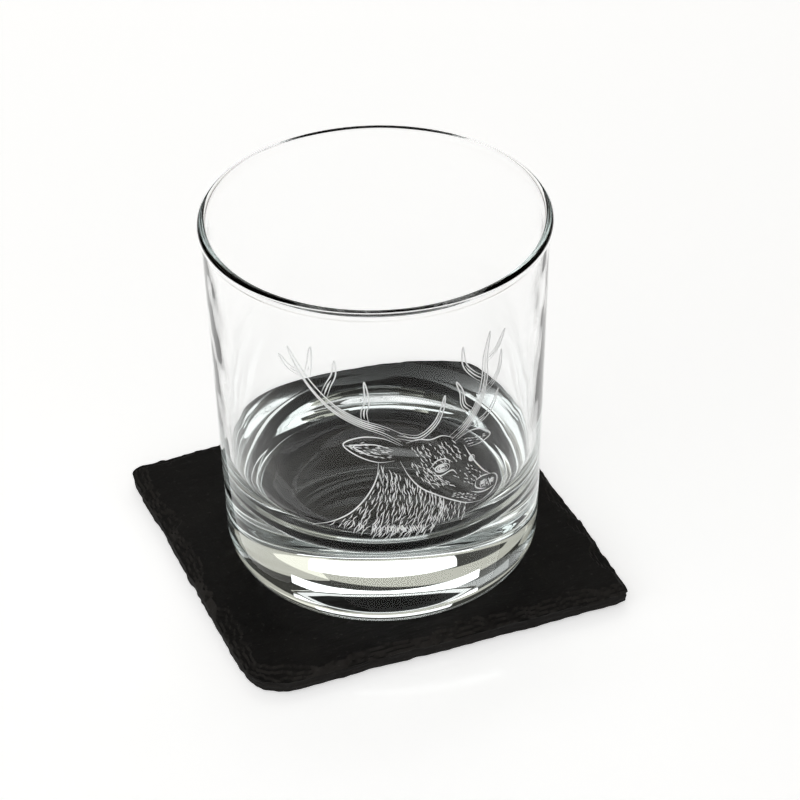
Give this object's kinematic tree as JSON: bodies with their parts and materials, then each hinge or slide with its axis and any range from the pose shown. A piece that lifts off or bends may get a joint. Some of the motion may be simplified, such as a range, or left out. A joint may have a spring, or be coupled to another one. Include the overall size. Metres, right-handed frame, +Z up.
{
  "type": "whiskey tumbler on slate coaster",
  "caption": "Clear heavy-based tumbler with a round lip and tapered wall, standing on a square slate coaster with felt feet; the tumbler lifts off.",
  "frame": {"origin": "on the table, under the centre of the coaster's square; the tumbler's axis is 0.7 mm to the left of it and 8.5 mm to the front, so its lip overhangs the coaster's front edge by 1.4 mm", "axes": "+Z up; X and Y along the coaster's edges, with -Y the front, the side that the engraving faces"},
  "size_m": [0.1, 0.1014, 0.1051],
  "materials": {
    "glass": "clear polished soda-lime glass",
    "slate": "matt riven slate",
    "felt": "pressed felt"
  },
  "bodies": {
    "coaster": {"slate_coaster": "slate", "felt_foot_front_left": "felt", "felt_foot_front_right": "felt", "felt_foot_back_left": "felt", "felt_foot_back_right": "felt"},
    "tumbler": {"tumbler_glass": "glass"}
  },
  "joints": [
    {"name": "tumbler_lift", "type": "slide", "parent": "coaster", "child": "tumbler", "axis": [0, 0, 1], "range_m": [0, 0.12]}
  ]
}
